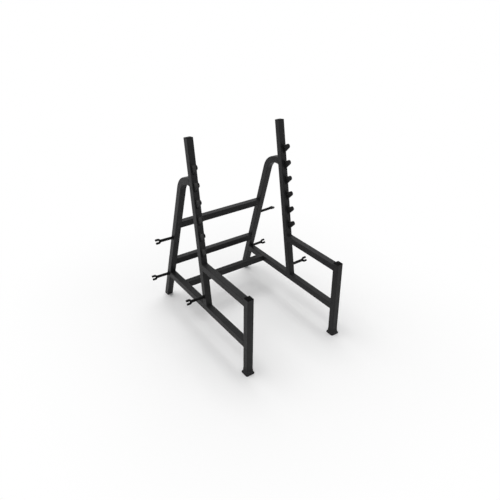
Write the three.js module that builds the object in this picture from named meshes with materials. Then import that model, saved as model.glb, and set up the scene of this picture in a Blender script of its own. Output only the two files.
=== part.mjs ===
// Squat stand for a barbell. Two side frames of square steel tube lean towards each other and are joined
// behind the lifter by three crossbars. Each upright carries six bar catches, and each side frame carries
// three forked storage pegs. The stand has no moving parts.
// Lengths are in millimetres and angles in degrees. +Z is up from the floor at z = 0, the open front faces
// -Y, the two side frames stand alike on either side of x = 0, and the origin is at the footprint's middle.

import * as THREE from 'three';

// Tube and joints
const tubeSide = 63.5;
const tubeWall = 3;
const tubeCorner = 4.5;
const leastCorner = 0.5;
const weldGap = 0.3;
const plugClearance = 0.3;

// Whole stand: heights are to a tube's middle, and y is counted from the front post's middle
const frameSpacing = 1023; // between the middles of the side frames at the floor
const inwardLeanShare = 0.0116; // inward travel of a side frame for each unit of height
const footSpacing = 1564; // from the front post's middle to the rear leg's middle at the floor
const uprightSetback = 686; // from the front post's middle to the upright's middle at the side rail
const uprightLean = 8.5; // degrees that the upright leans back
const uprightTop = 1938;
const postTop = 806;
const sideRailHeight = 320;
const safetyRailDrop = 20; // from the front post's cut end down to the safety rail's top face
const kneeHeight = 1541;
const kneeRadius = 183; // to the tube's middle
const kneeRun = 31; // straight length between the knee's bend and the upright
const upperCrossbarHeight = 980;
const middleCrossbarHeight = 484;
const lowerCrossbarSetback = 484; // from the upright's middle to the crossbar's middle

// Front foot: a boot that the post stands in
const frontFootFlare = 13.5; // how far the boot's slab stands out from the tube
const frontFootSlab = 12;
const frontFootHeight = 47;
const frontFootFloor = 8;
const frontFootWall = 2.7;
const frontFootCorner = 14;
const frontFootEdge = 1.5;

// Rear foot: an end cap cut level, with a plug inside the leg
const rearFootHeight = 8;
const rearFootEdge = 1;
const rearPlugHeight = 18;

// Top caps
const capHeight = 4;
const capEdge = 1.2;
const capPlugDepth = 16;
const plugWall = 2.5;

// Bar catch: a hook plate welded to the upright's front face, in distances out from it and along it
const catchCount = 6;
const catchThickness = 16;
const catchInset = 14; // from the upright's outer face to the plate
const catchEdge = 0.8;
const catchReach = 84;
const catchNoseRadius = 22;
const catchNoseRise = 15; // the nose's middle above the catch's level
const catchRootDrop = 57; // the plate's lower end below the catch's level
const catchSeatRadius = 15; // for a bar of 28
const catchSeatRise = 21; // the seat's lowest point above the catch's level
const catchRootLand = 3; // width of the plate's upper end, between the upright and the seat's throat
const lowestCatchRise = 125; // from the safety rail's top to the lowest catch's level
const highestCatchDrop = 258; // from the upright's end down to the highest catch's level

// Storage peg: a round bar with a collar at its root and a fork of bent rod at its end
const pegLength = 132;
const pegRadius = 14.5;
const pegCollarRadius = 21;
const pegCollarHeight = 6;
const pegCollarEdge = 1.5;
const forkRodRadius = 11.5;
const forkSpread = 33; // between the middles of the two prongs
const forkReach = 57; // from the peg's end to the prongs' tips
const forkTipEdge = 1.5;
const forkTurn = 31; // degrees that a fork is turned about its peg, the upper prong towards the rear
const oddForkTurn = -80; // the same for the right side's upper fork
const pegRise = 1.4; // degrees that a peg slopes up from its root
const upperPegHeight = 822;
const lowerPegHeight = 318;
const frontPegRise = 88; // from the side rail's top to the front peg's middle

// Facets
const cornerSteps = 2;
const kneeSteps = 16;
const catchArcSteps = 5;
const pegSides = 16;
const forkSides = 10;
const forkSteps = 8;

// Finishes
const framePaint = { color: 0x2b2b2d, roughness: 0.45, metalness: 0.35 };
const catchPaint = { color: 0x262628, roughness: 0.5, metalness: 0.35 };
const pegPaint = { color: 0x1f1f21, roughness: 0.45, metalness: 0.35 };
const capPlastic = { color: 0x18181a, roughness: 0.6, metalness: 0 };
const footRubber = { color: 0x141415, roughness: 0.85, metalness: 0 };

const degrees = THREE.MathUtils.degToRad;
const halfTube = tubeSide / 2;
const boreSide = tubeSide - 2 * tubeWall;
const boreCorner = Math.max(tubeCorner - tubeWall, leastCorner);
const across = new THREE.Vector3(1, 0, 0);
const rearward = new THREE.Vector3(0, 1, 0);
const upward = new THREE.Vector3(0, 0, 1);

// The side frame's lines, in its own plane
const sideRailTop = sideRailHeight + halfTube;
const safetyRailHeight = postTop - safetyRailDrop - halfTube;
const uprightDirection = inSidePlane(Math.sin(degrees(uprightLean)), Math.cos(degrees(uprightLean)));
const uprightForward = uprightDirection.clone().cross(across).negate();
const uprightFoot = inSidePlane(uprightSetback, sideRailHeight);

// The rear leg runs from its foot to the knee's bend, which it meets as a tangent
const uprightBack = awayFrom(uprightFoot, uprightForward, -halfTube);
const kneeEndY = onLine(uprightBack, uprightDirection, kneeHeight).y + kneeRun;
const kneeMiddle = inSidePlane(kneeEndY, kneeHeight - kneeRadius);
const legFoot = inSidePlane(footSpacing, 0);
const legToKnee = kneeMiddle.clone().sub(legFoot);
const legLean = Math.atan2(-legToKnee.y, legToKnee.z) - Math.asin(kneeRadius / legToKnee.length());
const legDirection = inSidePlane(-Math.sin(legLean), Math.cos(legLean));
const legForward = legDirection.clone().cross(across).negate();
const legReach = tubeSide / Math.cos(legLean);
const frontFootSide = tubeSide + 2 * frontFootFlare;
const footprintMiddle = (footSpacing + legReach / 2 - frontFootSide / 2) / 2;

// Cut planes where a tube stops short of its neighbour by the weld's gap
const faceStandoff = halfTube + weldGap;
const behindPost = cutPlane(rearward, inSidePlane(faceStandoff, 0));
const aheadOfUpright = cutPlane(uprightForward, awayFrom(uprightFoot, uprightForward, faceStandoff));
const behindUpright = cutPlane(uprightForward, awayFrom(uprightFoot, uprightForward, -faceStandoff));
const aheadOfLeg = cutPlane(legForward, awayFrom(legFoot, legForward, faceStandoff));

// A point or direction in the side frame's own plane
function inSidePlane(y, z) {
  return new THREE.Vector3(0, y, z);
}

function awayFrom(point, direction, distance) {
  return point.clone().addScaledVector(direction, distance);
}

function cutPlane(normal, point) {
  return new THREE.Plane().setFromNormalAndCoplanarPoint(normal, point);
}

function levelPlane(height) {
  return cutPlane(upward, new THREE.Vector3(0, 0, height));
}

// The point at a height on a line
function onLine(start, direction, height) {
  return awayFrom(start, direction, (height - start.z) / direction.z);
}

// The point where a line through a point meets a plane
function slideTo(plane, point, direction) {
  return awayFrom(point, direction, -plane.distanceToPoint(point) / plane.normal.dot(direction));
}

// A rectangle with rounded corners, as the points of its outline
function roundedOutline(width, depth, corner) {
  const x = width / 2 - corner;
  const y = depth / 2 - corner;
  const shape = new THREE.Shape();
  shape.absarc(x, y, corner, 0, Math.PI / 2);
  shape.absarc(-x, y, corner, Math.PI / 2, Math.PI);
  shape.absarc(-x, -y, corner, Math.PI, 1.5 * Math.PI);
  shape.absarc(x, -y, corner, 1.5 * Math.PI, 2 * Math.PI);
  return shape.getPoints(cornerSteps);
}

function roundOutline(radius, sides) {
  return Array.from({ length: sides }, (_, index) => {
    const angle = (2 * Math.PI * index) / sides;
    return new THREE.Vector2(radius * Math.cos(angle), radius * Math.sin(angle));
  });
}

// An outline set square to a direction in the side frame's plane
function ringAlong(outline, centre, direction) {
  const up = direction.clone().cross(across);
  return outline.map((point) => awayFrom(awayFrom(centre, across, point.x), up, point.y));
}

// A level outline at a height, moved along y
function levelRing(width, depth, corner, height, shift = 0) {
  const points = roundedOutline(width, depth, corner);
  return points.map((point) => new THREE.Vector3(point.x, point.y + shift, height));
}

function enclosedVolume(positions, faces) {
  const corner = (index) => new THREE.Vector3().fromArray(positions, 3 * index);
  let volume = 0;
  for (let first = 0; first < faces.length; first += 3) {
    const [a, b, c] = faces.slice(first, first + 3).map(corner);
    volume += a.dot(b.cross(c)) / 6;
  }
  return volume;
}

// A closed body over a row of rings with as many points each. A looped row, such as the outer and inner
// rings of an open tube, closes on itself, and any other row is closed by a fan over each end.
function skin(rings, looped = false) {
  const count = rings[0].length;
  const positions = rings.flat().flatMap((point) => point.toArray());
  const faces = [];
  const bands = looped ? rings.length : rings.length - 1;
  for (let band = 0; band < bands; band++) {
    const low = band * count;
    const high = ((band + 1) % rings.length) * count;
    for (let index = 0; index < count; index++) {
      const next = (index + 1) % count;
      faces.push(low + index, low + next, high + next);
      faces.push(low + index, high + next, high + index);
    }
  }
  if (!looped) {
    const last = (rings.length - 1) * count;
    for (const [ring, start, reverse] of [[rings[0], 0, true], [rings.at(-1), last, false]]) {
      const hub = positions.length / 3;
      const middle = ring.reduce((sum, point) => sum.add(point), new THREE.Vector3()).divideScalar(count);
      positions.push(...middle.toArray());
      for (let index = 0; index < count; index++) {
        const pair = [start + index, start + ((index + 1) % count)];
        faces.push(hub, ...(reverse ? pair.reverse() : pair));
      }
    }
  }
  if (enclosedVolume(positions, faces) < 0) {
    faces.reverse();
  }
  const geometry = new THREE.BufferGeometry();
  geometry.setAttribute('position', new THREE.Float32BufferAttribute(positions, 3));
  geometry.setIndex(faces);
  geometry.computeVertexNormals();
  return geometry;
}

// Square tube with its bore open at both ends, through stations of a middle and a direction
function squareTube(stations, startCut, endCut) {
  const walls = [[tubeSide, tubeCorner], [boreSide, boreCorner]].map(([side, corner]) => {
    const outline = roundedOutline(side, side, corner);
    return stations.map(({ middle, direction }, index) => {
      const ring = ringAlong(outline, middle, direction);
      const cut = { 0: startCut, [stations.length - 1]: endCut }[index];
      return cut ? ring.map((point) => slideTo(cut, point, direction)) : ring;
    });
  });
  return skin([...walls[0], ...walls[1].reverse()], true);
}

// A tube without a bend, between two cuts
function straightTube(middle, direction, startCut, endCut) {
  return squareTube([{ middle, direction }, { middle, direction }], startCut, endCut);
}

function uprightGeometry() {
  const foot = levelPlane(sideRailTop + weldGap);
  const end = cutPlane(uprightDirection, onLine(uprightFoot, uprightDirection, uprightTop));
  return straightTube(uprightFoot, uprightDirection, foot, end);
}

function postGeometry() {
  const foot = levelPlane(frontFootFloor + weldGap);
  return straightTube(new THREE.Vector3(), upward, foot, levelPlane(postTop));
}

function sideRailGeometry() {
  return straightTube(inSidePlane(0, sideRailHeight), rearward, behindPost, aheadOfLeg);
}

function safetyRailGeometry() {
  return straightTube(inSidePlane(0, safetyRailHeight), rearward, behindPost, aheadOfUpright);
}

// The leg slopes up and forwards, then bends level to meet the upright
function rearLegGeometry() {
  const stations = [{ middle: legFoot, direction: legDirection }];
  for (let step = 0; step <= kneeSteps; step++) {
    const angle = THREE.MathUtils.lerp(legLean, Math.PI / 2, step / kneeSteps);
    const outward = inSidePlane(Math.cos(angle), Math.sin(angle));
    const direction = inSidePlane(-Math.sin(angle), Math.cos(angle));
    stations.push({ middle: awayFrom(kneeMiddle, outward, kneeRadius), direction });
  }
  stations.push(stations.at(-1));
  return squareTube(stations, levelPlane(rearFootHeight + weldGap), behindUpright);
}

// A level tube between the leaning inner faces of the two side frames
function crossbarGeometry(y, height) {
  const reach = frameSpacing / 2 - halfTube - weldGap - inwardLeanShare * height;
  const walls = [[tubeSide, tubeCorner], [boreSide, boreCorner]].map(([side, corner]) => {
    const outline = roundedOutline(side, side, corner);
    return [-1, 1].map((end) => outline.map((point) => {
      const x = end * (reach - inwardLeanShare * point.y);
      return new THREE.Vector3(x, y + point.x, height + point.y);
    }));
  });
  return skin([...walls[0], ...walls[1].reverse()], true);
}

// End cap with a hollow plug below its flange. The tube's cut end is at z = 0, just under the flange.
function topCapGeometry() {
  const plugSide = boreSide - 2 * plugClearance;
  const plugCorner = Math.max(boreCorner - plugClearance, leastCorner);
  const cavitySide = plugSide - 2 * plugWall;
  const topSide = tubeSide - 2 * capEdge;
  return skin([
    levelRing(cavitySide, cavitySide, leastCorner, weldGap),
    levelRing(cavitySide, cavitySide, leastCorner, -capPlugDepth),
    levelRing(plugSide, plugSide, plugCorner, -capPlugDepth),
    levelRing(plugSide, plugSide, plugCorner, weldGap),
    levelRing(tubeSide, tubeSide, tubeCorner, weldGap),
    levelRing(tubeSide, tubeSide, tubeCorner, capHeight - capEdge),
    levelRing(topSide, topSide, tubeCorner - capEdge, capHeight),
  ]);
}

// Boot with a square pocket for the post's end
function frontFootGeometry() {
  const pocketSide = tubeSide + 2 * plugClearance;
  const pocketCorner = tubeCorner + plugClearance;
  const collarSide = pocketSide + 2 * frontFootWall;
  const soleSide = frontFootSide - 2 * frontFootEdge;
  return skin([
    levelRing(pocketSide, pocketSide, pocketCorner, frontFootFloor),
    levelRing(pocketSide, pocketSide, pocketCorner, frontFootHeight),
    levelRing(collarSide, collarSide, pocketCorner + frontFootWall, frontFootHeight),
    levelRing(frontFootSide, frontFootSide, frontFootCorner, frontFootSlab),
    levelRing(frontFootSide, frontFootSide, frontFootCorner, frontFootEdge),
    levelRing(soleSide, soleSide, frontFootCorner - frontFootEdge, 0),
  ]);
}

// Level-cut end cap for the sloping leg, with a plug that follows the leg's bore
function rearFootGeometry() {
  const stretchShare = 1 / Math.cos(legLean);
  const plugSide = boreSide - 2 * plugClearance;
  const plugCorner = Math.max(boreCorner - plugClearance, leastCorner);
  const cavitySide = plugSide - 2 * plugWall;
  const plugTop = rearFootHeight + rearPlugHeight;
  const shiftAt = (height) => -height * Math.tan(legLean);
  const ring = (side, corner, height) => {
    return levelRing(side, side * stretchShare, corner, height, shiftAt(height));
  };
  const soleSide = tubeSide - 2 * rearFootEdge;
  return skin([
    levelRing(soleSide, legReach - 2 * rearFootEdge, tubeCorner - rearFootEdge, 0),
    levelRing(tubeSide, legReach, tubeCorner, rearFootEdge),
    ring(tubeSide, tubeCorner, rearFootHeight),
    ring(plugSide, plugCorner, rearFootHeight),
    ring(plugSide, plugCorner, plugTop),
    ring(cavitySide, leastCorner, plugTop),
    ring(cavitySide, leastCorner, rearFootHeight),
  ]);
}

// Hook plate: a straight underside, a round nose, a ramp down to the bar's seat, and the seat's throat
// that rises to the upright. Drawn with x out from the upright's front face and y along the upright.
function catchGeometry() {
  const nose = new THREE.Vector2(catchReach - catchNoseRadius, catchNoseRise);
  const seat = new THREE.Vector2(weldGap + catchSeatRadius, catchSeatRise + catchSeatRadius);
  const root = new THREE.Vector2(weldGap, -catchRootDrop);
  const rootToNose = nose.clone().sub(root);
  const undersideTurn = Math.asin(catchNoseRadius / rootToNose.length());
  const undersideAngle = rootToNose.angle() - undersideTurn - Math.PI / 2;
  const seatToNose = nose.clone().sub(seat);
  const rampTurn = Math.asin((catchNoseRadius + catchSeatRadius) / seatToNose.length());
  const rampAngle = seatToNose.angle() + rampTurn;
  const throatAngle = Math.PI + Math.acos(1 - catchRootLand / catchSeatRadius);
  const throatTop = seat.y + catchSeatRadius * Math.sin(throatAngle);
  const shape = new THREE.Shape();
  shape.absarc(nose.x, nose.y, catchNoseRadius, undersideAngle, rampAngle - 1.5 * Math.PI);
  shape.absarc(seat.x, seat.y, catchSeatRadius, rampAngle - Math.PI / 2, throatAngle, true);
  shape.lineTo(root.x, throatTop);
  shape.lineTo(root.x, root.y);
  const geometry = new THREE.ExtrudeGeometry(shape, {
    depth: catchThickness - 2 * catchEdge,
    curveSegments: catchArcSteps,
    bevelThickness: catchEdge,
    bevelSize: catchEdge,
    bevelOffset: -catchEdge,
    bevelSegments: 1,
  });
  geometry.translate(0, 0, catchEdge - catchThickness / 2);
  const basis = new THREE.Matrix4().makeBasis(rearward.clone().negate(), upward, across.clone().negate());
  return geometry.applyMatrix4(basis);
}

// Round bar with a collar, from its root at x = 0 along +X
function pegGeometry() {
  const profile = [
    new THREE.Vector2(0, 0),
    new THREE.Vector2(pegCollarRadius, 0),
    new THREE.Vector2(pegCollarRadius, pegCollarHeight - pegCollarEdge),
    new THREE.Vector2(pegCollarRadius - pegCollarEdge, pegCollarHeight),
    new THREE.Vector2(pegRadius, pegCollarHeight),
    new THREE.Vector2(pegRadius, pegLength),
    new THREE.Vector2(0, pegLength),
  ];
  return new THREE.LatheGeometry(profile, pegSides).rotateZ(-Math.PI / 2);
}

// Rod bent to a U that opens along +X. Its back is at the peg's end, its prongs above and below the axis.
function forkGeometry() {
  const spread = forkSpread / 2;
  const back = pegLength + weldGap + forkRodRadius + spread;
  const tip = pegLength + forkReach;
  const at = (x, z) => new THREE.Vector3(x, 0, z);
  const stations = [
    { middle: at(tip, -spread), radius: forkRodRadius - forkTipEdge, angle: Math.PI },
    { middle: at(tip - forkTipEdge, -spread), radius: forkRodRadius, angle: Math.PI },
  ];
  for (let step = 0; step <= forkSteps; step++) {
    const turn = (Math.PI * step) / forkSteps;
    const middle = at(back - spread * Math.sin(turn), -spread * Math.cos(turn));
    stations.push({ middle, radius: forkRodRadius, angle: Math.PI - turn });
  }
  stations.push({ middle: at(tip - forkTipEdge, spread), radius: forkRodRadius, angle: 0 });
  stations.push({ middle: at(tip, spread), radius: forkRodRadius - forkTipEdge, angle: 0 });
  return skin(stations.map(({ middle, radius, angle }) => {
    const side = new THREE.Vector3(-Math.sin(angle), 0, Math.cos(angle));
    const outline = roundOutline(radius, forkSides);
    return outline.map((point) => awayFrom(awayFrom(middle, side, point.x), rearward, point.y));
  }));
}

function piece(name, geometry, finish) {
  const mesh = new THREE.Mesh(geometry, new THREE.MeshStandardMaterial(finish));
  mesh.name = name;
  return mesh;
}

// Storage peg and its fork, rooted flat on a side frame's outer face and sloping up from it
function storagePeg(name, sign, middle, turn = forkTurn) {
  const fork = piece(`${name}_fork`, forkGeometry(), pegPaint);
  fork.rotation.x = -sign * degrees(turn);
  const slope = new THREE.Group();
  slope.add(piece(name, pegGeometry(), pegPaint), fork);
  slope.matrix.makeShear(0, Math.tan(degrees(pegRise)), 0, 0, 0, 0);
  slope.matrixAutoUpdate = false;
  const root = new THREE.Group();
  root.add(slope);
  root.position.set(sign * faceStandoff, middle.y, middle.z);
  root.rotation.z = sign > 0 ? 0 : Math.PI;
  return root;
}

// The row of bar catches, in a group whose z axis runs up the upright's front face
function catchRow(side, sign) {
  const group = new THREE.Group();
  const slopeShare = uprightDirection.z;
  const railTop = safetyRailHeight + halfTube;
  const lowest = (railTop - sideRailHeight) / slopeShare + lowestCatchRise;
  const highest = (uprightTop - sideRailHeight) / slopeShare - highestCatchDrop;
  for (let index = 0; index < catchCount; index++) {
    const plate = piece(`${side}_catch_${index + 1}`, catchGeometry(), catchPaint);
    plate.position.x = sign * (halfTube - catchInset - catchThickness / 2);
    plate.position.y = -halfTube;
    plate.position.z = THREE.MathUtils.lerp(lowest, highest, index / (catchCount - 1));
    group.add(plate);
  }
  group.position.copy(uprightFoot);
  group.rotation.x = -degrees(uprightLean);
  return group;
}

function topCap(name, position, lean) {
  const cap = piece(name, topCapGeometry(), capPlastic);
  cap.position.copy(position);
  cap.rotation.x = -degrees(lean);
  return cap;
}

function rearFoot(name) {
  const foot = piece(name, rearFootGeometry(), footRubber);
  foot.position.copy(legFoot);
  return foot;
}

// One side frame, drawn upright in its own plane and then sheared inwards, so that level cuts stay level
function sideFrame(side, sign) {
  const frame = new THREE.Group();
  const upperPegMiddle = onLine(legFoot, legDirection, upperPegHeight);
  const lowerPegMiddle = onLine(legFoot, legDirection, lowerPegHeight);
  const frontPegMiddle = onLine(uprightFoot, uprightDirection, sideRailTop + frontPegRise);
  frame.add(
    piece(`${side}_upright`, uprightGeometry(), framePaint),
    piece(`${side}_rear_leg`, rearLegGeometry(), framePaint),
    piece(`${side}_front_post`, postGeometry(), framePaint),
    piece(`${side}_side_rail`, sideRailGeometry(), framePaint),
    piece(`${side}_safety_rail`, safetyRailGeometry(), framePaint),
    topCap(`${side}_upright_cap`, onLine(uprightFoot, uprightDirection, uprightTop), uprightLean),
    topCap(`${side}_post_cap`, inSidePlane(0, postTop), 0),
    piece(`${side}_front_foot`, frontFootGeometry(), footRubber),
    rearFoot(`${side}_rear_foot`),
    catchRow(side, sign),
    storagePeg(`${side}_upper_peg`, sign, upperPegMiddle, sign > 0 ? oddForkTurn : forkTurn),
    storagePeg(`${side}_lower_peg`, sign, lowerPegMiddle),
    storagePeg(`${side}_front_peg`, sign, frontPegMiddle),
  );
  frame.matrix.makeShear(0, 0, 0, 0, -sign * inwardLeanShare, 0);
  frame.matrix.setPosition((sign * frameSpacing) / 2, 0, 0);
  frame.matrixAutoUpdate = false;
  return frame;
}

function crossbar(name, middle) {
  return piece(name, crossbarGeometry(middle.y, middle.z), framePaint);
}

function squatStand() {
  const stand = new THREE.Group();
  const lowerMiddle = inSidePlane(uprightSetback + lowerCrossbarSetback, sideRailHeight);
  stand.add(
    sideFrame('left', -1),
    sideFrame('right', 1),
    crossbar('upper_crossbar', onLine(legFoot, legDirection, upperCrossbarHeight)),
    crossbar('middle_crossbar', onLine(legFoot, legDirection, middleCrossbarHeight)),
    crossbar('lower_crossbar', lowerMiddle),
  );
  stand.position.y = -footprintMiddle;
  return stand;
}

const stand = squatStand();

export default stand;
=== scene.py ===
# Squat stand: the looks. The frame's tubes stay as they are packed and are painted. The small parts are
# modelled again with their full roundness, and the weld beads that join the frame are added.
# Lengths are in metres. The stand's own directions are those of the frame: +Z up, open front towards -Y.

import math

import bpy
import numpy as np
from mathutils import Matrix, Vector


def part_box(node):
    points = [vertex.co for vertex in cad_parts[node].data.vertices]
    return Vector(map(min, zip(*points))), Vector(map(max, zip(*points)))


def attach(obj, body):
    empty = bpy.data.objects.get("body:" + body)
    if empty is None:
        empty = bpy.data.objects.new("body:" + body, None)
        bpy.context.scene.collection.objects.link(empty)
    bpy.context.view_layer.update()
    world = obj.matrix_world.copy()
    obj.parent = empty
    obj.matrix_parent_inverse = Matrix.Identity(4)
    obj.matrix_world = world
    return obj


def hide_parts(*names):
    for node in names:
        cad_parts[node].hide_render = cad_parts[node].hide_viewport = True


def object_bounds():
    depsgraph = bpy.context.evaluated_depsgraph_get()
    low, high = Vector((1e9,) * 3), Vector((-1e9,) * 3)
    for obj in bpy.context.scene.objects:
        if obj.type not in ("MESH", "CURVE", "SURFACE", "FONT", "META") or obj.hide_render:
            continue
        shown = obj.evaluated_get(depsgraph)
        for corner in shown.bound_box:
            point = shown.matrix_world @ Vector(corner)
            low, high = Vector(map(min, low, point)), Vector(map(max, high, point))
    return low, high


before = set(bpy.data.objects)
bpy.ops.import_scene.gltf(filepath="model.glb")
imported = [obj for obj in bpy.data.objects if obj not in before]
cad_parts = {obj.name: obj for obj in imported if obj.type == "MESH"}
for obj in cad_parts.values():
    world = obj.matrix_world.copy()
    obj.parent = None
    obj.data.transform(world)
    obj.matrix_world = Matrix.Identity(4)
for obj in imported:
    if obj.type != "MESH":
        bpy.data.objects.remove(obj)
cad_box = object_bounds()

mm = 0.001
sides = {"left": -1, "right": 1}  # and the sign of x there
up = Vector((0, 0, 1))
down = Vector((0, 0, -1))
front = Vector((0, -1, 0))
rear = Vector((0, 1, 0))
off_face = np.array((1.0, 0.0, 0.0))  # pegs and catches are drawn with their root at x = 0, along +X

# The photograph's view
image_side = 500
focal_pixels = 526.2
sensor_width = 36  # in millimetres, as Blender has it
camera_place = Vector((-2.5435, -3.7498, 3.3184))
camera_azimuth = math.radians(-34.635)
camera_elevation = math.radians(29.555)

# Stage and light
floor_radius = 60
floor_colour = 0.955
floor_speckle = 0.004  # up or down from that colour
floor_white_reach = 2.0  # from the stand's footprint to where the floor has run out into white
dome_strength = 0.1
lamps = {  # the share of the light, the angle that the lamp fills, and its tilt towards the stand's rear
    "overhead_softbox": (0.52, math.radians(60), math.radians(15)),
    "ceiling_softbox": (0.40, math.radians(120), 0),
}

# Paint, plastic and rubber: linear base colours, and tones that are shares of them
frame_shade = (0.0130, 0.0130, 0.0136)
# the catches' coat is darker than the frame's: painted shade, standing in for the shade that falls on the
# catches
catch_colour_with_painted_shade = (0.0100, 0.0100, 0.0105)
peg_shade = (0.0046, 0.0046, 0.0048)
cap_shade = (0.0020, 0.0020, 0.0021)
rubber_shade = (0.0160, 0.0160, 0.0164)
rubbed_shade = (0.0650, 0.0640, 0.0620)
dust_shade = (0.0300, 0.0290, 0.0275)
coat_tones = (0.72, 1.34)
coat_fleck_tone = 2.4
coat_fleck_share = 0.35
coat_patch_polish = 0.10  # taken off the roughness in the paler patches
coat_grain_rough = 0.10  # added to it on the grain
coat_grain_height = 0.35  # where the orange peel's height is 1
coat_depth = 0.25 * mm
coat_bump = 0.35
worn_polish = 0.14  # taken off the roughness of burnished paint
worn_metal = 0.6
plastic_tones = (0.8, 1.3)
plastic_rough = (0.62, 0.52)
plastic_depth = 0.1 * mm
plastic_bump = 0.4
scratch_tone = 4
scratch_share = 0.4
scratch_stretch = (0.02, 1, 1)  # a scratch is long, and this thin across X
rubber_tones = (0.8, 1.4)
rubber_rough = (0.88, 0.74)
rubber_depth = 0.15 * mm
rubber_bump = 0.5
dust_share = 0.3
dust_top = 14 * mm  # the height up to which dust clings to rubber
dust_full = 1 * mm  # the height up to which it clings all over

# Tubes and joints, as in the frame
side_tubes = ("upright", "rear_leg", "front_post", "side_rail", "safety_rail")
crossbars = ("upper_crossbar", "middle_crossbar", "lower_crossbar")
tube_corner = 4.5 * mm
joint_gap = 0.3 * mm

# Meshes
crease_angle = math.radians(38)  # an edge that turns by more than this is shaded as sharp
merge_reach = 0.005 * mm  # points of a tube's skin nearer than this are made one
point_digits = 6  # decimals of a metre to which the frame's points are told apart
root_reach = 3 * joint_gap  # points nearer than this to a tube's face are a piece's root

# Weld beads
bead_step = 0.8 * mm
bead_sides = 10
bead_radius = 3.4 * mm
bead_offset = 1.2 * mm  # the bead's middle, out from both faces of a fillet
groove_radius = 3.3 * mm
groove_sink = 2.4 * mm  # the bead's middle below the side faces, where two tubes are flush
groove_shift = 2.2 * mm  # and towards the neighbour's round corner
corner_sink = 2.4 * mm  # deeper still, where a crossbar's corner stands past its neighbour's side
corner_sink_start = 1 * mm  # how far past that side the sinking starts
corner_sink_run = 6 * mm  # and the length over which it grows to its full depth
corner_swell_share = 0.7  # of that depth, which the bead's radius grows by
ripple_pitch = 4.0 * mm
ripple_depth_share = 0.12
ripple_lag = 0.9  # how far a ripple's sides trail its crown, in radians
ripple_fullness = 0.7  # below 1 for broad crests with narrow valleys between them
wander_share = 0.05
wander_waves = (3, 7, 12)  # waves of uneven thickness round a bead
bead_seeds = {"frame": 0, "crossbar": 20, "collar": 41, "fork": 42, "catch": 43}

# Top caps
plug_inset = 3.3 * mm  # from a tube's outside to the plug of a cap or rear foot
cap_height = 4 * mm
cap_edge = 1.6 * mm
cap_crown = 0.5 * mm
cap_crown_shares = (0.8, 0.55, 0.3, 0.12)
cap_crown_least_corner = 0.5  # as a share of the crown's corner at the brim
cap_underside_edge = 0.3 * mm
cap_plug_depth = 16 * mm
cap_plug_corner = 2.7 * mm
cap_plug_wall = 2.5 * mm
cap_hollow_corner = 1 * mm
cap_rib_count = 4
cap_rib_start = 2 * mm
cap_rib_pitch = 3.4 * mm
cap_rib_height = 1.2 * mm
cap_rib_depth = 0.5 * mm

# Front boots
boot_corner = 14 * mm
boot_slab = 11 * mm
boot_floor = 8 * mm
boot_edge = 1.5 * mm
boot_shoulder_edge = 1.6 * mm
boot_parting_half = 0.5 * mm  # half the width of the ridge at the parting line
boot_parting_depth = 0.3 * mm  # of the hollow above and below the ridge
boot_flare_edge = 1.2 * mm  # the flare's foot, up from the slab's top and in from its side
boot_flare_power = 2
boot_collar_side = 69.5 * mm
boot_collar_corner = 7.5 * mm
boot_collar_rise = 11 * mm  # from the flare's start to the collar's top
boot_neck_drop = 3.6 * mm
boot_neck_inset = 0.6 * mm
boot_lip = 1.1 * mm
boot_lip_drop = 1.6 * mm
boot_pocket_gap = 0.3 * mm
boot_mouth_edge = 0.4 * mm
boot_mouth_drop = 0.8 * mm

# Rear feet
foot_height = 8 * mm
foot_edge = 1.4 * mm
foot_groove = 0.7 * mm
foot_shoulder = ((0, 0.8 * mm), (0.4 * mm, 0.2 * mm), (1.2 * mm, 0))  # inset, and drop below the groove
foot_least_corner = 1 * mm
foot_plug_height = 18 * mm
foot_plug_taper = 2 * mm
foot_plug_lead = 1.2 * mm
foot_plug_wall = 3.4 * mm

# Catches
catch_count = 6
catch_arc_steps = 18
catch_reach = 84 * mm
catch_nose_radius = 22 * mm
catch_nose_rise = 15 * mm
catch_root_drop = 57 * mm
catch_seat_radius = 15 * mm
catch_seat_rise = 21 * mm
catch_root_land = 3 * mm
catch_thickness = 16 * mm
catch_edge = 1.6 * mm
catch_least_spread = 0.35  # keeps a sharp corner's inset short
catch_bead_radius = 3.1 * mm
catch_bead_offset = 0.5 * mm
catch_bead_corner = 1.5 * mm
catch_bead_thin_share = 0.62  # taken off the bead in the seat's throat
catch_throat_bead = 6 * mm
catch_throat_fade = 5 * mm
seat_rub_reach = 13 * mm
seat_rub_rise = 4 * mm
seat_rub_fade = 6 * mm
ramp_rub_out = 0.66 * catch_reach  # where the ramp's rub is strongest, out from the upright's face
ramp_rub_up = 36 * mm  # and up along it
ramp_rub_reach = 26 * mm
ramp_rub_strength = 0.8

# Storage pegs
peg_names = ("upper_peg", "lower_peg", "front_peg")
peg_length = 132 * mm
peg_radius = 14.5 * mm
peg_edge = 0.6 * mm
peg_fillet = 1.2 * mm
peg_sides = 40
peg_rise = math.radians(1.4)
peg_ring_start = 0.1  # the rings that carry the bar's rub, as shares of its length
peg_ring_end = 0.98
peg_ring_steps = 18
peg_rub_start = 20 * mm  # from the peg's root
peg_rub_end = 10 * mm  # from the peg's end
peg_rub_strength = 0.44
lathe_core = 1 * mm  # radius of the flat disc at each end of a turned part
collar_radius = 21 * mm
collar_height = 6 * mm
collar_edge = 1.5 * mm
collar_bead_radius = 2.6 * mm
collar_bead_lift = 0.7 * mm
fork_rod_radius = 11.5 * mm
fork_rod_sides = 20
fork_bend_steps = 28
fork_spread = 33 * mm
fork_reach = 57 * mm
fork_tip_edge = 2.6 * mm
fork_turn = math.radians(31)
odd_fork_turn = math.radians(-80)
fork_rub_reach = 16 * mm
fork_rub_strength = 0.5
fork_bead_radius = 3.0 * mm
fork_bead_rise = 1.6 * mm  # the bead's middle, out from the peg's end
fork_bead_inset = 1.9 * mm  # and in from the peg's edge
fork_bead_overlap = 1.1 * mm  # and in from the rod's side


# Shader nodes

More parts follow.
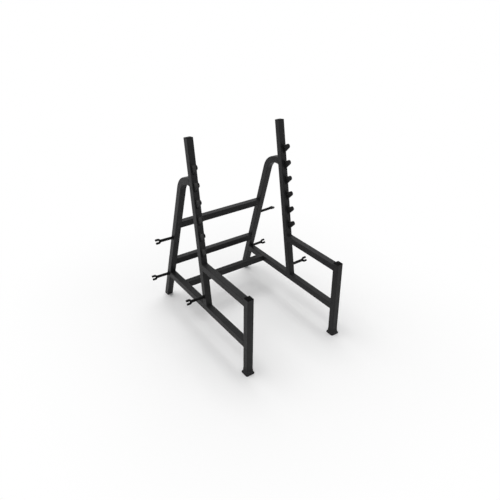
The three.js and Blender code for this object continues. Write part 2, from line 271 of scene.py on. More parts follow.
def new_material(name):
    material = bpy.data.materials.new(name)
    material.use_nodes = True
    material.node_tree.nodes.clear()
    return material, material.node_tree


def add_node(tree, kind, inputs=None, **settings):
    """A shader node with its settings, and its inputs set or linked by name or number."""
    node = tree.nodes.new(kind)
    for key, value in settings.items():
        setattr(node, key, value)
    for key, value in (inputs or {}).items():
        if isinstance(value, bpy.types.NodeSocket):
            tree.links.new(value, node.inputs[key])
        else:
            node.inputs[key].default_value = value
    return node


def noise(tree, place, scale, detail, roughness):
    inputs = {"Vector": place, "Scale": scale, "Detail": detail, "Roughness": roughness}
    return add_node(tree, "ShaderNodeTexNoise", inputs).outputs["Fac"]


def between(tree, value, low, high, start=0, end=1):
    """A value carried from low..high to start..end, and held at both ends."""
    inputs = {"Value": value, "From Min": low, "From Max": high, "To Min": start, "To Max": end}
    return add_node(tree, "ShaderNodeMapRange", inputs, interpolation_type="SMOOTHSTEP").outputs[0]


def mottle(tree, place, scale, detail, roughness, low, high):
    """Noise that is 0 below a low level, 1 above a high one, and rises smoothly from one to the other."""
    return between(tree, noise(tree, place, scale, detail, roughness), low, high)


def combine(tree, operation, *values):
    """One number from one or more, by an operation of the Math node."""
    return add_node(tree, "ShaderNodeMath", dict(enumerate(values)), operation=operation).outputs[0]


def combine_vectors(tree, operation, *values):
    """The outputs of the Vector Math node: a vector, and a number called Value."""
    return add_node(tree, "ShaderNodeVectorMath", dict(enumerate(values)), operation=operation).outputs


def mix_colours(tree, share, first, second):
    """A mix of two colours. Inputs 6 and 7 and output 2 are the Mix node's sockets for colours."""
    inputs = {0: share, 6: first, 7: second}
    return add_node(tree, "ShaderNodeMix", inputs, data_type="RGBA").outputs[2]


def scaled(shade, factor):
    return (*(factor * part for part in shade), 1)


def toned(tree, share, shade, tones):
    """A shade in tones that run from the first to the second as the share rises."""
    first, second = tones
    return mix_colours(tree, share, scaled(shade, first), scaled(shade, second))


def grey(level):
    return (level, level, level, 1)


def surface(tree, colour, rough, height, depth, strength, specular, metallic=0):
    """The surface shader and its output. What is the same all over is set on the shader's own socket."""
    bump = add_node(tree, "ShaderNodeBump", {"Strength": strength, "Distance": depth, "Height": height})
    inputs = {"Base Color": colour, "Roughness": rough, "Normal": bump.outputs[0],
              "Specular IOR Level": specular, "Metallic": metallic}
    shader = add_node(tree, "ShaderNodeBsdfPrincipled", inputs)
    add_node(tree, "ShaderNodeOutputMaterial", {"Surface": shader.outputs[0]})


def powder_coat(name, shade, roughness, specular, rubbed=False):
    """Black powder coat: cloudy in tone, with an orange-peel skin, a fine grain and pale flecks.
    Where the piece's rub attribute is high, the paint is burnished."""
    material, tree = new_material(name)
    place = add_node(tree, "ShaderNodeTexCoord").outputs["Object"]
    cloud = mottle(tree, place, scale=16, detail=4, roughness=0.6, low=0.32, high=0.68)
    patch = mottle(tree, place, scale=75, detail=3, roughness=0.6, low=0.3, high=0.7)
    fleck = mottle(tree, place, scale=420, detail=2, roughness=0.6, low=0.62, high=0.74)
    grain = noise(tree, place, scale=1400, detail=2, roughness=0.6)
    peel = noise(tree, place, scale=320, detail=1, roughness=0.4)
    half_patch = combine(tree, "MULTIPLY", patch, 0.5)
    mean = combine(tree, "MULTIPLY_ADD", cloud, 0.5, half_patch)
    colour = toned(tree, mean, shade, coat_tones)
    flecks = combine(tree, "MULTIPLY", fleck, coat_fleck_share)
    colour = mix_colours(tree, flecks, colour, scaled(shade, coat_fleck_tone))
    patch_rough = between(tree, patch, low=0, high=1, start=roughness, end=roughness - coat_patch_polish)
    rough = combine(tree, "MULTIPLY_ADD", grain, coat_grain_rough, patch_rough)
    height = combine(tree, "MULTIPLY_ADD", grain, coat_grain_height, peel)
    metallic = 0
    if rubbed:
        rub = add_node(tree, "ShaderNodeAttribute", attribute_name="rub").outputs["Fac"]
        scuffs = mottle(tree, place, scale=260, detail=4, roughness=0.7, low=0.35, high=0.65)
        worn = between(tree, combine(tree, "MULTIPLY", rub, scuffs), low=0.15, high=0.75)
        colour = mix_colours(tree, worn, colour, (*rubbed_shade, 1))
        rough = combine(tree, "SUBTRACT", rough, combine(tree, "MULTIPLY", worn, worn_polish))
        metallic = combine(tree, "MULTIPLY", worn, worn_metal)
    surface(tree, colour, rough, height, coat_depth, coat_bump, specular, metallic)
    return material


def moulded_plastic(name, shade, specular):
    """Black moulded plastic with a spark-eroded grain and a few light scratches."""
    material, tree = new_material(name)
    place = add_node(tree, "ShaderNodeTexCoord").outputs["Object"]
    grain = noise(tree, place, scale=1100, detail=3, roughness=0.6)
    cloud = mottle(tree, place, scale=60, detail=3, roughness=0.6, low=0.3, high=0.7)
    stretched = add_node(tree, "ShaderNodeMapping", {"Vector": place, "Scale": scratch_stretch},
                         vector_type="TEXTURE").outputs[0]
    scratch = mottle(tree, stretched, scale=500, detail=1, roughness=0.5, low=0.66, high=0.72)
    colour = toned(tree, cloud, shade, plastic_tones)
    scratches = combine(tree, "MULTIPLY", scratch, scratch_share)
    colour = mix_colours(tree, scratches, colour, scaled(shade, scratch_tone))
    rough = between(tree, cloud, 0, 1, *plastic_rough)
    surface(tree, colour, rough, grain, plastic_depth, plastic_bump, specular)
    return material


def foot_rubber(name, shade, specular):
    """Matt rubber with a sandy skin, greyed with dust towards the floor."""
    material, tree = new_material(name)
    place = add_node(tree, "ShaderNodeTexCoord").outputs["Object"]
    height = add_node(tree, "ShaderNodeSeparateXYZ", {0: place}).outputs["Z"]
    grain = noise(tree, place, scale=1500, detail=3, roughness=0.7)
    cloud = mottle(tree, place, scale=90, detail=4, roughness=0.65, low=0.3, high=0.7)
    dust = mottle(tree, place, scale=220, detail=4, roughness=0.7, low=0.45, high=0.75)
    dust = combine(tree, "MULTIPLY", dust, between(tree, height, dust_full, dust_top, start=1, end=0))
    colour = toned(tree, cloud, shade, rubber_tones)
    colour = mix_colours(tree, combine(tree, "MULTIPLY", dust, dust_share), colour, (*dust_shade, 1))
    rough = between(tree, cloud, 0, 1, *rubber_rough)
    surface(tree, colour, rough, grain, rubber_depth, rubber_bump, specular)
    return material


def seen_ray(tree):
    """1 for rays from the camera and for rays that gloss and glass send out, else 0."""
    rays = add_node(tree, "ShaderNodeLightPath").outputs
    seen = combine(tree, "MAXIMUM", rays["Is Camera Ray"], rays["Is Glossy Ray"])
    return combine(tree, "MAXIMUM", seen, rays["Is Transmission Ray"])


def floor_paint():
    """Pale matt floor that keeps the shadow near the stand and runs out into plain white."""
    material, tree = new_material("pale_floor")
    place = add_node(tree, "ShaderNodeTexCoord").outputs["Object"]
    speckle = noise(tree, place, scale=35, detail=3, roughness=0.6)
    low = grey(floor_colour - floor_speckle)
    high = grey(floor_colour + floor_speckle)
    matt = add_node(tree, "ShaderNodeBsdfDiffuse", {"Color": mix_colours(tree, speckle, low, high)})
    white = add_node(tree, "ShaderNodeEmission", {"Color": grey(1), "Strength": 1})
    mirrored = combine_vectors(tree, "ABSOLUTE", place)[0]
    beyond = combine_vectors(tree, "SUBTRACT", mirrored, (half_spacing, cad_box[1][1], 0))[0]
    beyond = combine_vectors(tree, "MAXIMUM", beyond, (0, 0, 0))[0]
    reach = combine_vectors(tree, "LENGTH", beyond)["Value"]
    share = combine(tree, "MULTIPLY", between(tree, reach, 0, floor_white_reach), seen_ray(tree))
    shaders = {0: share, 1: matt.outputs[0], 2: white.outputs[0]}
    mixed = add_node(tree, "ShaderNodeMixShader", shaders).outputs[0]
    add_node(tree, "ShaderNodeOutputMaterial", {"Surface": mixed})
    return material


# Stage, light and camera

def build_stage():
    mesh = bpy.data.meshes.new("floor")
    corners = [(-floor_radius, -floor_radius, 0), (floor_radius, -floor_radius, 0),
               (floor_radius, floor_radius, 0), (-floor_radius, floor_radius, 0)]
    mesh.from_pydata(corners, [], [(0, 1, 2, 3)])
    mesh.materials.append(floor_paint())
    floor = bpy.data.objects.new("floor", mesh)
    bpy.context.scene.collection.objects.link(floor)


def build_light():
    world = bpy.data.worlds.new("studio")
    bpy.context.scene.world = world
    world.use_nodes = True
    tree = world.node_tree
    tree.nodes.clear()
    dome = add_node(tree, "ShaderNodeBackground", {"Color": grey(1), "Strength": dome_strength})
    white = add_node(tree, "ShaderNodeBackground", {"Color": grey(1), "Strength": 1})
    shaders = {0: seen_ray(tree), 1: dome.outputs[0], 2: white.outputs[0]}
    mixed = add_node(tree, "ShaderNodeMixShader", shaders).outputs[0]
    add_node(tree, "ShaderNodeOutputWorld", {"Surface": mixed})
    for name, (share, width, tilt) in lamps.items():
        light = bpy.data.lights.new(name, "SUN")
        light.energy = share * math.pi
        light.angle = width
        lamp = bpy.data.objects.new(name, light)
        lamp.rotation_euler = (-tilt, 0, 0)
        lamp.visible_glossy = False  # gloss shows the plain white surroundings
        bpy.context.scene.collection.objects.link(lamp)


def build_camera():
    lens = bpy.data.cameras.new("camera")
    lens.sensor_width = sensor_width
    lens.lens = focal_pixels / image_side * sensor_width
    camera = bpy.data.objects.new("camera", lens)
    camera.location = camera_place
    camera.rotation_euler = (math.pi / 2 - camera_elevation, 0, camera_azimuth)
    bpy.context.scene.collection.objects.link(camera)
    bpy.context.scene.camera = camera
    bpy.context.scene.view_settings.view_transform = "Standard"


# Mesh helpers

def add_piece(name, parts, material, replaced=(), rub=None):
    """A piece of one or more closed skins, each (points, faces), which rides on the stand."""
    points, faces = [], []
    for part_points, part_faces in parts:
        first = len(points)
        points.extend(map(tuple, part_points))
        faces.extend(tuple(first + index for index in face) for face in part_faces)
    mesh = bpy.data.meshes.new(name)
    mesh.from_pydata(points, [], faces)
    mesh.polygons.foreach_set("use_smooth", [True] * len(faces))
    mesh.set_sharp_from_angle(angle=crease_angle)
    mesh.materials.append(material)
    if rub is not None:
        attribute = mesh.attributes.new("rub", "FLOAT", "POINT")
        attribute.data.foreach_set("value", np.asarray(rub, np.float32))
    piece = bpy.data.objects.new(name, mesh)
    bpy.context.scene.collection.objects.link(piece)
    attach(piece, "root")
    if replaced:
        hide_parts(*replaced)


def enclosed(points, faces):
    """Six times the volume inside a closed skin, which is below zero where its faces point inwards."""
    # Each face is a fan of triangles
    corners = np.array([(face[0], face[index], face[index + 1])
                        for face in faces for index in range(1, len(face) - 1)])
    first, second, third = points[corners.T]
    return (first * np.cross(second, third)).sum()


def skin(rings, looped=False):
    """A closed skin over rings of as many points each. A looped row closes on itself, and any other row
    gets a flat face over each end."""
    count = len(rings[0])
    points = np.vstack(rings)
    bands = len(rings) if looped else len(rings) - 1
    faces = []
    for band in range(bands):
        low, high = band * count, (band + 1) % len(rings) * count
        for index in range(count):
            after = (index + 1) % count
            faces.append((low + index, low + after, high + after, high + index))
    if not looped:
        last = (len(rings) - 1) * count
        faces.append(tuple(reversed(range(count))))
        faces.append(tuple(range(last, last + count)))
    if enclosed(points, faces) < 0:
        faces = [tuple(reversed(face)) for face in faces]
    return points, faces


def moved(part, matrix):
    points, faces = part
    turned = points @ np.array(matrix.to_3x3()).T + np.array(matrix.translation)
    return turned, faces


def rounded_rectangle(width, depth, corner, height, shift=0, steps=8):
    """A level ring: a rectangle with round corners, centred on x = 0 and y = shift."""
    ring = []
    for quarter in range(4):
        across = 1 if quarter in (0, 3) else -1
        along = 1 if quarter in (0, 1) else -1
        for step in range(steps + 1):
            angle = math.pi / 2 * (quarter + step / steps)
            x = across * (width / 2 - corner) + corner * math.cos(angle)
            y = along * (depth / 2 - corner) + corner * math.sin(angle)
            ring.append((x, y + shift, height))
    return np.array(ring)


def rounded_square(width, corner, height):
    return rounded_rectangle(width, width, corner, height)


def evenly(start, end, steps):
    """Values at even steps, from the start up to the end."""
    return [start + (end - start) * step / steps for step in range(steps + 1)]


def circle(count):
    """As many even angles round a circle."""
    return 2 * math.pi * np.arange(count) / count


def round_edge(radius, steps, start=0, end=math.pi / 2):
    """The inset and the drop at each step round an edge, from its side up to its end face."""
    return [(radius * (1 - math.cos(angle)), radius * (1 - math.sin(angle)))
            for angle in evenly(start, end, steps)]


# The frame's own lines, measured on its nodes

def node_points(name):
    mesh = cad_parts[name].data
    points = np.array([vertex.co for vertex in mesh.vertices])
    return np.unique(np.round(points, point_digits), axis=0)


ring_size = len(node_points("left_front_post")) // 2
post_low, post_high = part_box("right_front_post")
tube_side = (post_high - post_low).y
half_tube = tube_side / 2
half_spacing = post_high.x - half_tube
boot_low, boot_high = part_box("right_front_foot")
boot_side = (boot_high - boot_low).y
boot_height = boot_high.z


def end_ring(name, towards):
    """The points round a tube's end, on its outside and its bore."""
    points = node_points(name)
    order = np.argsort(points @ np.array(towards))
    return points[order[-ring_size:]]


def end_middle(name, towards):
    return Vector(end_ring(name, towards).mean(0))


def end_outline(name, towards):
    """The outside outline of a tube's end, in order, and the unit normal of its cut, towards the tube."""
    ring = end_ring(name, towards)
    middle = ring.mean(0)
    from_middle = ring - middle
    outer = from_middle[np.argsort(np.linalg.norm(from_middle, axis=1))[ring_size // 2:]]
    across, along, normal = np.linalg.svd(outer)[2]
    if normal @ np.array(towards) > 0:
        normal = -normal
    order = np.argsort(np.arctan2(outer @ along, outer @ across))
    return outer[order] + middle, normal


def side_matrix(side):
    """From a side frame drawn upright about x = 0 to its real place, leaning inwards."""
    foot = end_middle(f"{side}_front_post", down)
    top = end_middle(f"{side}_front_post", up)
    lean = (top.x - foot.x) / (top.z - foot.z)
    matrix = Matrix.Identity(4)
    matrix[0][2] = lean
    matrix[0][3] = foot.x - lean * foot.z
    return matrix


side_place = {side: side_matrix(side) for side in sides}


def drawn_end(side, name, towards):
    """The middle of a tube's end, in the upright drawing of its side frame."""
    return side_place[side].inverted() @ end_middle(f"{side}_{name}", towards)


def drawn_points(side, name):
    """A node's points, in the upright drawing of its side frame."""
    back = side_place[side].inverted()
    return node_points(f"{side}_{name}") @ np.array(back.to_3x3()).T + np.array(back.translation)


post_foot = drawn_end("left", "front_post", down)
post_top = drawn_end("left", "front_post", up)
upright_foot = drawn_end("left", "upright", down)
upright_top = drawn_end("left", "upright", up)
upright_way = (upright_top - upright_foot).normalized()
upright_lean = math.atan2(upright_way.y, upright_way.z)
leg_foot = drawn_end("left", "rear_leg", down)
leg_foot_ring = end_ring("left_rear_leg", down)
leg_lean = math.acos(tube_side / (leg_foot_ring[:, 1].max() - leg_foot_ring[:, 1].min()))
leg_way = Vector((0, -math.sin(leg_lean), math.cos(leg_lean)))


# Weld beads

def resample(points, step):
    """A closed line's points, again at even steps."""
    loop = np.vstack([points, points[:1]])
    along = np.concatenate([[0], np.cumsum(np.linalg.norm(np.diff(loop, axis=0), axis=1))])
    marks = np.linspace(0, along[-1], round(along[-1] / step), endpoint=False)
    return np.column_stack([np.interp(marks, along, loop[:, axis]) for axis in range(3)])


def bead(path, normal, out, back, radius, seed):
    """A rippled bead along a closed path. Its middle lies out from the path and back along the normal.
    These two and the radius are single numbers, or one for each point of the path."""
    ahead = np.roll(path, -2, axis=0) - np.roll(path, 2, axis=0)
    ahead /= np.linalg.norm(ahead, axis=1)[:, None]
    outward = np.cross(ahead, normal)
    if ((path - path.mean(0)) * outward).sum() < 0:
        outward = -outward
    length = np.linalg.norm(np.roll(path, -1, axis=0) - path, axis=1).sum()
    ripples = round(length / ripple_pitch)
    turn = circle(len(path))
    phases = np.random.default_rng(seed).uniform(0, 2 * math.pi, len(wander_waves))
    wander = np.mean([np.sin(waves * turn + phase) for waves, phase in zip(wander_waves, phases)], axis=0)
    size = radius * (1 + wander_share * wander)
    rings = []
    for angle in circle(bead_sides):
        crown = math.cos(angle - math.pi / 4)
        wave = np.abs(np.sin(turn * ripples / 2 + ripple_lag * crown)) ** ripple_fullness
        reach = size * (1 - ripple_depth_share * (1 - wave))
        rings.append(path + outward * (out + reach * math.cos(angle))[:, None]
                     + np.outer(back + reach * math.sin(angle), normal))
    return skin(rings, looped=True)


def tube_bead(name, towards, neighbour_way, neighbour_point, seed):
    """The bead round a tube's end: a fillet on its neighbour's flat face, and a groove weld where the two
    tubes' sides are flush. The neighbour is given by the way of its middle line and a point on it."""
    outline, normal = end_outline(name, towards)
    path = resample(outline, bead_step)
    way = np.array(Vector(neighbour_way).normalized())
    side_way = np.cross(way, normal)
    side_way /= np.linalg.norm(side_way)
    off_line = np.abs((path - np.array(neighbour_point)) @ side_way)
    flush = np.clip((off_line - (half_tube - tube_corner)) / tube_corner, 0, 1)
    flush = flush * flush * (3 - 2 * flush)  # eased at both ends
    past = np.clip((off_line - half_tube - corner_sink_start) / corner_sink_run, 0, 1)
    out = bead_offset - (groove_sink + bead_offset) * flush - corner_sink * past
    back = bead_offset - (groove_shift + bead_offset) * (flush - past)
    radius = bead_radius + (groove_radius - bead_radius) * flush + corner_sink * corner_swell_share * past
    return bead(path, normal, out, back, radius, seed)


def frame_welds(side, paint):
    """The beads at the joints inside a side frame."""
    place = side_place[side]
    post = place @ post_foot
    post_slope = place.to_3x3() @ up
    upright = place @ upright_foot
    upright_slope = place.to_3x3() @ upright_way
    leg = place @ leg_foot
    leg_slope = place.to_3x3() @ leg_way
    rail = end_middle(f"{side}_side_rail", front)
    joints = [
        ("safety_rail", front, post_slope, post),
        ("safety_rail", rear, upright_slope, upright),
        ("side_rail", front, post_slope, post),
        ("side_rail", rear, leg_slope, leg),
        ("upright", down, rear, rail),
        ("rear_leg", front, upright_slope, upright),
    ]
    parts = [tube_bead(f"{side}_{name}", towards, way, point, bead_seeds["frame"] + index)
             for index, (name, towards, way, point) in enumerate(joints)]
    add_piece(f"{side}_frame_welds", parts, paint)


def crossbar_welds(paint):
    """The beads at both ends of the crossbars."""
    parts = []
    for side, sign in sides.items():
        leg = side_place[side] @ leg_foot
        leg_slope = side_place[side].to_3x3() @ leg_way
        rail = end_middle(f"{side}_side_rail", front)
        joints = [
            ("upper_crossbar", leg_slope, leg),
            ("middle_crossbar", leg_slope, leg),
            ("lower_crossbar", rear, rail),
        ]
        for index, (name, way, point) in enumerate(joints):
            parts.append(tube_bead(name, (sign, 0, 0), way, point, bead_seeds["crossbar"] + index))
    add_piece("crossbar_welds", parts, paint)


# Caps and feet

def cap_part():
    """End cap: a crowned flange with a round edge over a ribbed, hollow plug. The tube ends at z = 0."""
    plug_width = tube_side - 2 * plug_inset
    core_width = plug_width - 2 * cap_rib_depth
    core_corner = cap_plug_corner - cap_rib_depth
    hollow_width = plug_width - 2 * cap_plug_wall
    rings = [
        rounded_square(hollow_width, cap_hollow_corner, 0),
        rounded_square(hollow_width, cap_hollow_corner, -cap_plug_depth),
        rounded_square(core_width, core_corner, -cap_plug_depth),
    ]
    for rib in range(cap_rib_count):
        low = cap_rib_start + cap_rib_pitch * rib - cap_plug_depth
        rings.append(rounded_square(core_width, core_corner, low))
        rings.append(rounded_square(plug_width, cap_plug_corner, low + cap_rib_height / 2))
        rings.append(rounded_square(core_width, core_corner, low + cap_rib_height))
    rings.append(rounded_square(plug_width, cap_plug_corner, joint_gap))
    rings.append(rounded_square(tube_side - 2 * cap_underside_edge, tube_corner, joint_gap))
    rings.append(rounded_square(tube_side, tube_corner, joint_gap + cap_underside_edge))
    brim = cap_height - cap_crown
    for inset, drop in round_edge(cap_edge, 5):
        rings.append(rounded_square(tube_side - 2 * inset, tube_corner - inset, brim - drop))
    for share in cap_crown_shares:
        width = (tube_side - 2 * cap_edge) * share
        corner = (tube_corner - cap_edge) * max(share, cap_crown_least_corner)
        rings.append(rounded_square(width, corner, brim + cap_crown * (1 - share ** 2)))
    return skin(rings)


def boot_part():
    """Rubber boot: a slab with round edges, a concave flare up to a collar with a lip, and the post's
    pocket."""
    pocket = tube_side + 2 * boot_pocket_gap
    pocket_corner = tube_corner + boot_pocket_gap
    rings = [
        rounded_square(pocket, pocket_corner, boot_floor),
        rounded_square(pocket, pocket_corner, boot_height - boot_mouth_drop),
        rounded_square(pocket + 2 * boot_mouth_edge, pocket_corner + boot_mouth_edge, boot_height),
    ]
    for angle in evenly(math.pi / 2, -math.pi / 2, 6):
        inset = boot_lip * (1 - math.cos(angle))
        height = boot_height - boot_lip_drop * (1 - math.sin(angle))
        rings.append(rounded_square(boot_collar_side - 2 * inset, boot_collar_corner - inset, height))
    neck = boot_collar_side - 2 * boot_neck_inset
    rings.append(rounded_square(neck, boot_collar_corner - boot_neck_inset, boot_height - boot_neck_drop))
    flare_top = boot_height - boot_collar_rise
    flare_foot = boot_slab + boot_flare_edge
    flare = boot_side - 2 * boot_flare_edge
    for share in evenly(0, 1, 8):
        width = neck + (flare - neck) * share ** boot_flare_power
        corner = boot_collar_corner + (boot_corner - boot_collar_corner) * share
        rings.append(rounded_square(width, corner, flare_top + (flare_foot - flare_top) * share))
    for inset, drop in round_edge(boot_shoulder_edge, 3, math.pi / 3, 0):
        rings.append(rounded_square(boot_side - 2 * inset, boot_corner, boot_slab - drop))
    for step in (1, 0, -1):
        inset = boot_parting_depth * abs(step)
        height = boot_slab / 2 + boot_parting_half * step
        rings.append(rounded_square(boot_side - 2 * inset, boot_corner - inset, height))
    for inset, height in round_edge(boot_edge, 4):
        rings.append(rounded_square(boot_side - 2 * inset, boot_corner - inset, height))
    return skin(rings)


def rear_foot_part():
    """Level-cut foot under the sloping leg: a band with round edges, a groove under the tube and a plug."""
    def ring(inset, height):
        width = tube_side - 2 * inset
        corner = max(tube_corner - inset, foot_least_corner)
        shift = -height * math.tan(leg_lean)
        return rounded_rectangle(width, width / math.cos(leg_lean), corner, height, shift)

    plug_top = foot_height + foot_plug_height
    profile = round_edge(foot_edge, 4, math.pi / 2, 0)
    profile += [(inset, foot_height - foot_groove - drop) for inset, drop in foot_shoulder]
    profile += [
        (plug_inset, foot_height),
        (plug_inset, plug_top - foot_plug_taper),
        (plug_inset + foot_plug_lead, plug_top),
        (plug_inset + foot_plug_wall, plug_top),
        (plug_inset + foot_plug_wall, foot_height),
    ]
    return skin([ring(inset, height) for inset, height in profile])


# Catches

def arc_points(middle, radius, start, end):
    return [Vector((middle.x + radius * math.cos(angle), middle.y + radius * math.sin(angle)))
            for angle in evenly(start, end, catch_arc_steps)]


def catch_outline():
    """The hook plate's outline, with x out from the upright's face and y up along it, and its seat's middle.
    The underside touches the nose's circle, and the ramp touches those of the nose and the seat."""
    nose = Vector((catch_reach - catch_nose_radius, catch_nose_rise))
    seat = Vector((joint_gap + catch_seat_radius, catch_seat_rise + catch_seat_radius))
    root = Vector((joint_gap, -catch_root_drop))
    to_nose = nose - root
    underside = math.atan2(to_nose.y, to_nose.x) - math.asin(catch_nose_radius / to_nose.length)
    from_seat = nose - seat
    ramp = (math.atan2(from_seat.y, from_seat.x)
            + math.asin((catch_nose_radius + catch_seat_radius) / from_seat.length))
    throat = math.pi + math.acos(1 - catch_root_land / catch_seat_radius)
    points = arc_points(nose, catch_nose_radius, underside - math.pi / 2, ramp + math.pi / 2)
    points += arc_points(seat, catch_seat_radius, ramp + 1.5 * math.pi, throat)
    points += [Vector((root.x, points[-1].y)), root]
    return points, seat


def inset_outline(points, distance):
    """A counterclockwise outline moved inwards by a distance."""
    moved_points = []
    for index, point in enumerate(points):
        before, after = points[index - 1], points[(index + 1) % len(points)]
        first = (point - before).normalized()
        second = (after - point).normalized()
        inward = Vector((-first.y - second.y, first.x + second.x))
        spread = max(inward.length / 2, catch_least_spread)
        moved_points.append(point + inward.normalized() * distance / spread)
    return moved_points


def catch_part():
    """Hook plate with round edges, and how much bars have rubbed each of its points."""
    outline, seat = catch_outline()
    edge = round_edge(catch_edge, 4)
    half = catch_thickness / 2
    stations = [(inset, drop - half) for inset, drop in reversed(edge)]
    stations += [(inset, half - drop) for inset, drop in edge]
    rings = [np.array([(point.x, point.y, height) for point in inset_outline(outline, inset)])
             for inset, height in stations]
    points, faces = skin(rings)
    from_seat = np.hypot(points[:, 0] - seat.x, points[:, 1] - seat.y) - catch_seat_radius
    below = np.clip((seat.y + seat_rub_rise - points[:, 1]) / seat_rub_fade, 0, 1)
    seat_rub = below * np.clip(1 - np.abs(from_seat) / seat_rub_reach, 0, 1)
    from_ramp = np.hypot(points[:, 0] - ramp_rub_out, points[:, 1] - ramp_rub_up)
    ramp_rub = ramp_rub_strength * np.clip(1 - from_ramp / ramp_rub_reach, 0, 1)
    return (points, faces), np.maximum(seat_rub, ramp_rub)


def catch_weld():
    """The bead round a catch's root, thin in the throat of the seat. It is drawn as the catch is."""
    outline, _ = catch_outline()
    low, high = outline[-1].y, outline[-2].y
    turned = rounded_rectangle(catch_thickness, high - low, catch_bead_corner, joint_gap, (low + high) / 2)
    path = resample(turned[:, [2, 1, 0]], bead_step)
    thin = np.clip((path[:, 1] - (high - catch_throat_bead)) / catch_throat_fade, 0, 1)
    size = 1 - catch_bead_thin_share * thin
    offset = catch_bead_offset * size
    return bead(path, off_face, offset, offset, catch_bead_radius * size, bead_seeds["catch"])


# Storage pegs

def lathe(profile):
    """A closed body of revolution about X, from points (x, radius)."""
    turn = circle(peg_sides)
    return skin([np.column_stack([np.full(peg_sides, x), radius * np.cos(turn), radius * np.sin(turn)])
                 for x, radius in profile])


def peg_part():
    """Round bar with a collar, and its rub."""
    bar = peg_length - collar_height
    profile = [(0, lathe_core), (0, collar_radius)]
    profile += [(collar_height - drop, collar_radius - inset) for inset, drop in round_edge(collar_edge, 5)]
    profile += [(collar_height + inset, peg_radius + drop) for inset, drop in round_edge(peg_fillet, 4)]
    profile += [(collar_height + bar * share, peg_radius)
                for share in evenly(peg_ring_start, peg_ring_end, peg_ring_steps)]
    profile += [(peg_length - peg_edge, peg_radius), (peg_length, peg_radius - peg_edge)]
    profile += [(peg_length, lathe_core)]
    points, faces = lathe(profile)
    share = (points[:, 0] - peg_rub_start) / (peg_length - peg_rub_start - peg_rub_end)
    rub = peg_rub_strength * np.sin(math.pi * np.clip(share, 0, 1)) ** 2
    return (points, faces), rub


def fork_part():
    """Rod bent to a U that opens along +X, with round tips, and its rub."""
    half_spread = fork_spread / 2
    bend = peg_length + joint_gap + fork_rod_radius + half_spread
    tip = peg_length + fork_reach
    tip_edge = round_edge(fork_tip_edge, 5)
    # Each station is the x that the rod turns about, its radius, and how far round the U it has come
    stations = [(tip - drop, fork_rod_radius - inset, 0) for inset, drop in reversed(tip_edge)]
    stations += [(bend, fork_rod_radius, turn) for turn in evenly(0, math.pi, fork_bend_steps)]
    stations += [(tip - drop, fork_rod_radius - inset, math.pi) for inset, drop in tip_edge]
    around = circle(fork_rod_sides)
    rings = []
    for middle, radius, turn in stations:
        out = half_spread + radius * np.cos(around)
        rings.append(np.column_stack([middle - out * math.sin(turn), radius * np.sin(around),
                                      -out * math.cos(turn)]))
    points, faces = skin(rings)
    rub = fork_rub_strength * np.clip((points[:, 0] - tip) / fork_rub_reach + 1, 0, 1)
    return (points, faces), rub


def oval(x, half_width, half_height, steps=48):
    """A closed line about the X axis."""
    turn = circle(steps)
    return np.column_stack([np.full(steps, x), half_width * np.sin(turn), half_height * np.cos(turn)])


def peg_welds():
    """The bead at a peg's collar and the one between its end and the fork."""
    path = resample(oval(joint_gap, collar_radius, collar_radius), bead_step)
    lift = collar_bead_lift
    collar = bead(path, off_face, lift, lift, collar_bead_radius, bead_seeds["collar"])
    half_width = fork_rod_radius - fork_bead_overlap
    half_height = peg_radius - fork_bead_inset
    path = resample(oval(peg_length + fork_bead_rise, half_width, half_height), bead_step)
    fork = bead(path, off_face, 0, 0, fork_bead_radius, bead_seeds["fork"])
    return collar, fork


# Places in the side frames

def peg_places(side):
    """Each storage peg's matrix, from its root at x = 0 along +X to its place on the side frame."""
    sign = sides[side]
    turn = Matrix.Identity(4) if sign > 0 else Matrix.Rotation(math.pi, 4, "Z")
    slope = Matrix.Identity(4)
    slope[2][0] = math.tan(peg_rise)
    places = {}
    for name in peg_names:
        drawn = drawn_points(side, name)
        root = drawn[sign * drawn[:, 0] < half_tube + root_reach]
        middle = (root.min(0) + root.max(0)) / 2
        places[name] = side_place[side] @ Matrix.Translation(middle) @ turn @ slope
    return places


def catch_places(side):
    """Each catch's matrix, from its drawing to the upright's front face."""
    along = np.array(upright_way)
    out = np.array((0, -math.cos(upright_lean), math.sin(upright_lean)))
    face = np.array(upright_foot) @ out + half_tube
    axes = Matrix((out, along, np.cross(out, along))).transposed().to_4x4()
    places = []
    for index in range(catch_count):
        drawn = drawn_points(side, f"catch_{index + 1}")
        root = drawn[drawn @ out < face + root_reach]
        level = (root @ along).min() + catch_root_drop
        base = Vector(out * face + along * level)
        base.x = (drawn[:, 0].min() + drawn[:, 0].max()) / 2
        places.append(side_place[side] @ Matrix.Translation(base) @ axes)
    return places


# Assembly

def round_corner_nodes():
    """Geometry nodes that drop the frame's own normals and shade all but the sharp edges as smooth."""
    group = bpy.data.node_groups.new("round_corners", "GeometryNodeTree")
    for direction in ("INPUT", "OUTPUT"):
        group.interface.new_socket("Geometry", in_out=direction, socket_type="NodeSocketGeometry")
    start = add_node(group, "NodeGroupInput").outputs[0]
    merged = add_node(group, "GeometryNodeMergeByDistance", {"Geometry": start, "Distance": merge_reach})
    plain = add_node(group, "GeometryNodeRemoveAttribute",
                     {"Geometry": merged.outputs[0], "Name": "custom_normal"})
    smooth = add_node(group, "GeometryNodeSetShadeSmooth",
                      {"Geometry": plain.outputs[0], "Shade Smooth": True})
    angle = add_node(group, "GeometryNodeInputMeshEdgeAngle").outputs["Unsigned Angle"]
    sharp = add_node(group, "FunctionNodeCompare", {0: angle, 1: crease_angle}, operation="GREATER_THAN")
    creased = add_node(group, "GeometryNodeSetShadeSmooth",
                       {"Geometry": smooth.outputs[0], "Selection": sharp.outputs[0], "Shade Smooth": False},
                       domain="EDGE")
    add_node(group, "NodeGroupOutput", {0: creased.outputs[0]})
    return group


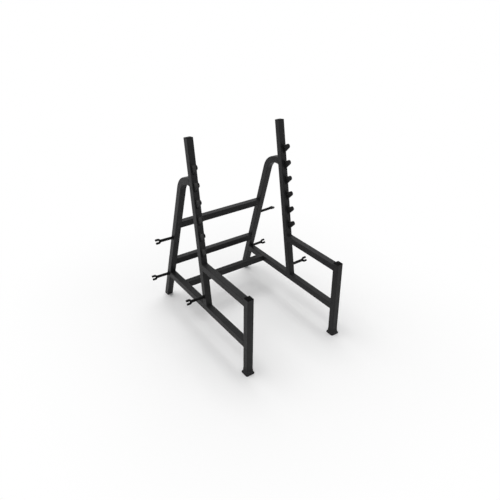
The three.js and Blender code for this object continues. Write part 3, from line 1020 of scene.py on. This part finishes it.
def paint_tubes(paint):
    """Paints the frame's tubes and shades their corners and bends as round."""
    round_corners = round_corner_nodes()
    tubes = [f"{side}_{name}" for side in sides for name in side_tubes]
    for name in (*tubes, *crossbars):
        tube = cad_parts[name]
        for slot in tube.material_slots:
            slot.material = paint
        tube.modifiers.new("round_corners", "NODES").node_group = round_corners
        tube.modifiers.new("flat_faces", "WEIGHTED_NORMAL").keep_sharp = True


def build_caps(side, paint):
    place = side_place[side]
    upright_end = place @ Matrix.Translation(upright_top) @ Matrix.Rotation(-upright_lean, 4, "X")
    post_end = place @ Matrix.Translation(post_top)
    for name, matrix in (("upright_cap", upright_end), ("post_cap", post_end)):
        add_piece(f"{side}_{name}_plug", [moved(cap_part(), matrix)], paint,
                  [f"{side}_{name}"])


def build_feet(side, paint):
    place = side_place[side]
    boot_place = place @ Matrix.Translation((0, post_foot.y, 0))
    add_piece(f"{side}_front_boot", [moved(boot_part(), boot_place)], paint,
              [f"{side}_front_foot"])
    sole_place = place @ Matrix.Translation((0, leg_foot.y + leg_foot.z * math.tan(leg_lean), 0))
    add_piece(f"{side}_rear_sole", [moved(rear_foot_part(), sole_place)], paint,
              [f"{side}_rear_foot"])


def build_catches(side, paint):
    """Adds a side's catches, and returns the beads at their roots."""
    beads = []
    for index, matrix in enumerate(catch_places(side)):
        part, rub = catch_part()
        add_piece(f"{side}_hook_{index + 1}", [moved(part, matrix)], paint,
                  [f"{side}_catch_{index + 1}"], rub)
        beads.append(moved(catch_weld(), matrix))
    return beads


def build_pegs(side, paint):
    """Adds a side's pegs with their forks, and returns the beads at both ends of each bar."""
    beads = []
    for name, matrix in peg_places(side).items():
        turn = odd_fork_turn if (side, name) == ("right", "upper_peg") else fork_turn
        fork_matrix = matrix @ Matrix.Rotation(-sides[side] * turn, 4, "X")
        part, rub = peg_part()
        add_piece(f"{side}_{name}_bar", [moved(part, matrix)], paint,
                  [f"{side}_{name}"], rub)
        part, rub = fork_part()
        add_piece(f"{side}_{name}_prongs", [moved(part, fork_matrix)], paint,
                  [f"{side}_{name}_fork"], rub)
        collar_weld, fork_weld = peg_welds()
        beads += [moved(collar_weld, matrix), moved(fork_weld, fork_matrix)]
    return beads


build_camera()
build_light()
build_stage()
frame_paint = powder_coat("frame_powder_coat", frame_shade, roughness=0.46, specular=0.16)
# the catches' coat holds painted shade (darker than the frame's coat) and real wear where bars rub
catch_paint_with_painted_shade = powder_coat("catch_powder_coat_with_painted_shade", catch_colour_with_painted_shade, roughness=0.48, specular=0.14, rubbed=True)
peg_paint = powder_coat("peg_powder_coat", peg_shade, roughness=0.46, specular=0.09, rubbed=True)
cap_plastic = moulded_plastic("cap_plastic", cap_shade, specular=0.03)
rubber = foot_rubber("foot_rubber", rubber_shade, specular=0.3)
paint_tubes(frame_paint)
for side_name in sides:
    build_caps(side_name, cap_plastic)
    build_feet(side_name, rubber)
    small_welds = build_catches(side_name, catch_paint_with_painted_shade) + build_pegs(side_name, peg_paint)
    add_piece(f"{side_name}_small_welds", small_welds, peg_paint)
    frame_welds(side_name, frame_paint)
crossbar_welds(frame_paint)
